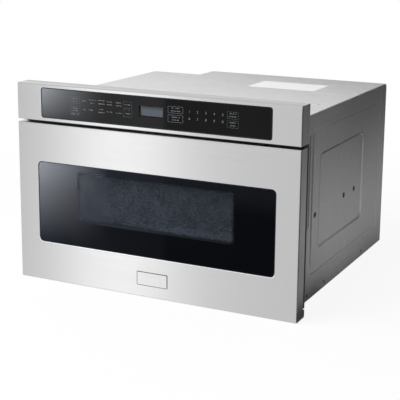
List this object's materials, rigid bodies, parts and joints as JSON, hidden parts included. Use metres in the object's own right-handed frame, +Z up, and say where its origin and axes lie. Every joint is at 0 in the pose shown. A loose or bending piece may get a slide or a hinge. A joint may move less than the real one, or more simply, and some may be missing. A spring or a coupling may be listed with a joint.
{
  "type": "microwave drawer",
  "caption": "Built-in microwave oven drawer: flush stainless front with a black glass control strip and window, and a drawer bowl driven out of a steel cabinet by rack and pinion.",
  "frame": {"origin": "middle of the footprint at the level of the feet", "axes": "+X to the right as seen from the front, +Y from the front to the back, +Z up; the drawer opens towards -Y"},
  "size_m": [0.6064, 0.594, 0.403],
  "materials": {
    "stainless_skin": "brushed stainless steel, horizontal grain, soft vertical bands",
    "black_glass": "gloss black back-printed toughened glass",
    "galvanised_sheet": "satin galvanised sheet steel, zinc grey with faint spangle",
    "frame_steel": "dark grey satin painted steel",
    "cavity_steel": "satin stainless steel, fine grain",
    "screen_metal": "dark enamelled perforated sheet",
    "black_plastic": "moulded black plastic, fine texture",
    "white_plastic": "moulded off-white plastic",
    "nylon": "natural acetal, slightly translucent look",
    "display_window": "grey-blue display window, unlit",
    "circuit_board": "green solder-mask board with moulded parts",
    "ceramic_tray": "white glass ceramic, glossy",
    "clear_glass": "clear toughened glass",
    "zinc_steel": "bright zinc-plated steel",
    "bare_aluminium": "bare drawn aluminium",
    "lamination_steel": "varnished steel laminations",
    "copper_winding": "enamelled copper winding, close turns",
    "mica_cover": "pressed mica sheet"
  },
  "bodies": {
    "cabinet": {"outer_wrap": "galvanised_sheet", "base_pan": "galvanised_sheet", "back_panel": "galvanised_sheet", "cord_gland": "black_plastic", "mounting_frame": "frame_steel", "control_fascia": "stainless_skin", "control_glass": "black_glass", "control_housing": "black_plastic", "display_module": "display_window", "control_board": "circuit_board", "oven_cavity": "cavity_steel", "right_cavity_rail": "galvanised_sheet", "left_cavity_rail": "galvanised_sheet", "waveguide": "cavity_steel", "stirrer_cover": "mica_cover", "stirrer_motor": "zinc_steel", "oven_lamp": "white_plastic", "thermal_cutout": "black_plastic", "magnetron_yoke": "zinc_steel", "magnetron_tube": "bare_aluminium", "magnetron_filter_box": "zinc_steel", "transformer_core": "lamination_steel", "transformer_primary_coil": "copper_winding", "transformer_secondary_coil": "copper_winding", "capacitor": "bare_aluminium", "capacitor_strap": "zinc_steel", "fan_shroud": "black_plastic", "fan_motor": "lamination_steel", "filter_board": "circuit_board", "right_slide_outer": "zinc_steel", "left_slide_outer": "zinc_steel", "drive_motor": "zinc_steel", "drive_bracket": "galvanised_sheet", "right_interlock_switches": "white_plastic", "left_interlock_switches": "white_plastic"},
    "drawer": {"drawer_front": "stainless_skin", "window_glass": "black_glass", "door_frame": "black_plastic", "window_screen": "screen_metal", "choke_pan": "cavity_steel", "choke_cover": "black_plastic", "drawer_bowl": "cavity_steel", "inner_window": "clear_glass", "glass_tray": "ceramic_tray", "right_slide_inner": "zinc_steel", "left_slide_inner": "zinc_steel", "right_slide_arm": "zinc_steel", "left_slide_arm": "zinc_steel", "drive_rack": "nylon", "right_interlock_tongue": "nylon", "left_interlock_tongue": "nylon"},
    "right_slide_stage": {"right_slide_middle": "zinc_steel"},
    "left_slide_stage": {"left_slide_middle": "zinc_steel"},
    "pinion": {"drive_pinion": "nylon"},
    "fan": {"cooling_fan": "black_plastic"},
    "stirrer": {"stirrer_blade": "bare_aluminium"}
  },
  "joints": [
    {"name": "drawer_slide", "type": "slide", "parent": "cabinet", "child": "drawer", "axis": [0, -1, 0], "range_m": [0, 0.38]},
    {"name": "right_slide_travel", "type": "slide", "parent": "cabinet", "child": "right_slide_stage", "axis": [0, -1, 0], "range_m": [0, 0.19]},
    {"name": "left_slide_travel", "type": "slide", "parent": "cabinet", "child": "left_slide_stage", "axis": [0, -1, 0], "range_m": [0, 0.19]},
    {"name": "pinion_spin", "type": "hinge", "parent": "cabinet", "child": "pinion", "pos_m": [0.2538, -0.217, 0.1375], "axis": [1, 0, 0], "range_deg": [0, 1452]},
    {"name": "fan_spin", "type": "hinge", "parent": "cabinet", "child": "fan", "pos_m": [0.168, 0.26, 0.205], "axis": [0, 1, 0], "continuous": true},
    {"name": "stirrer_spin", "type": "hinge", "parent": "cabinet", "child": "stirrer", "pos_m": [0, -0.052, 0.29], "axis": [0, 0, 1], "continuous": true}
  ],
  "couplings": [
    {"joint": "right_slide_travel", "follows": "drawer_slide", "ratio": 0.5},
    {"joint": "left_slide_travel", "follows": "drawer_slide", "ratio": 0.5},
    {"joint": "pinion_spin", "follows": "drawer_slide", "rad_per_m": 66.667}
  ]
}
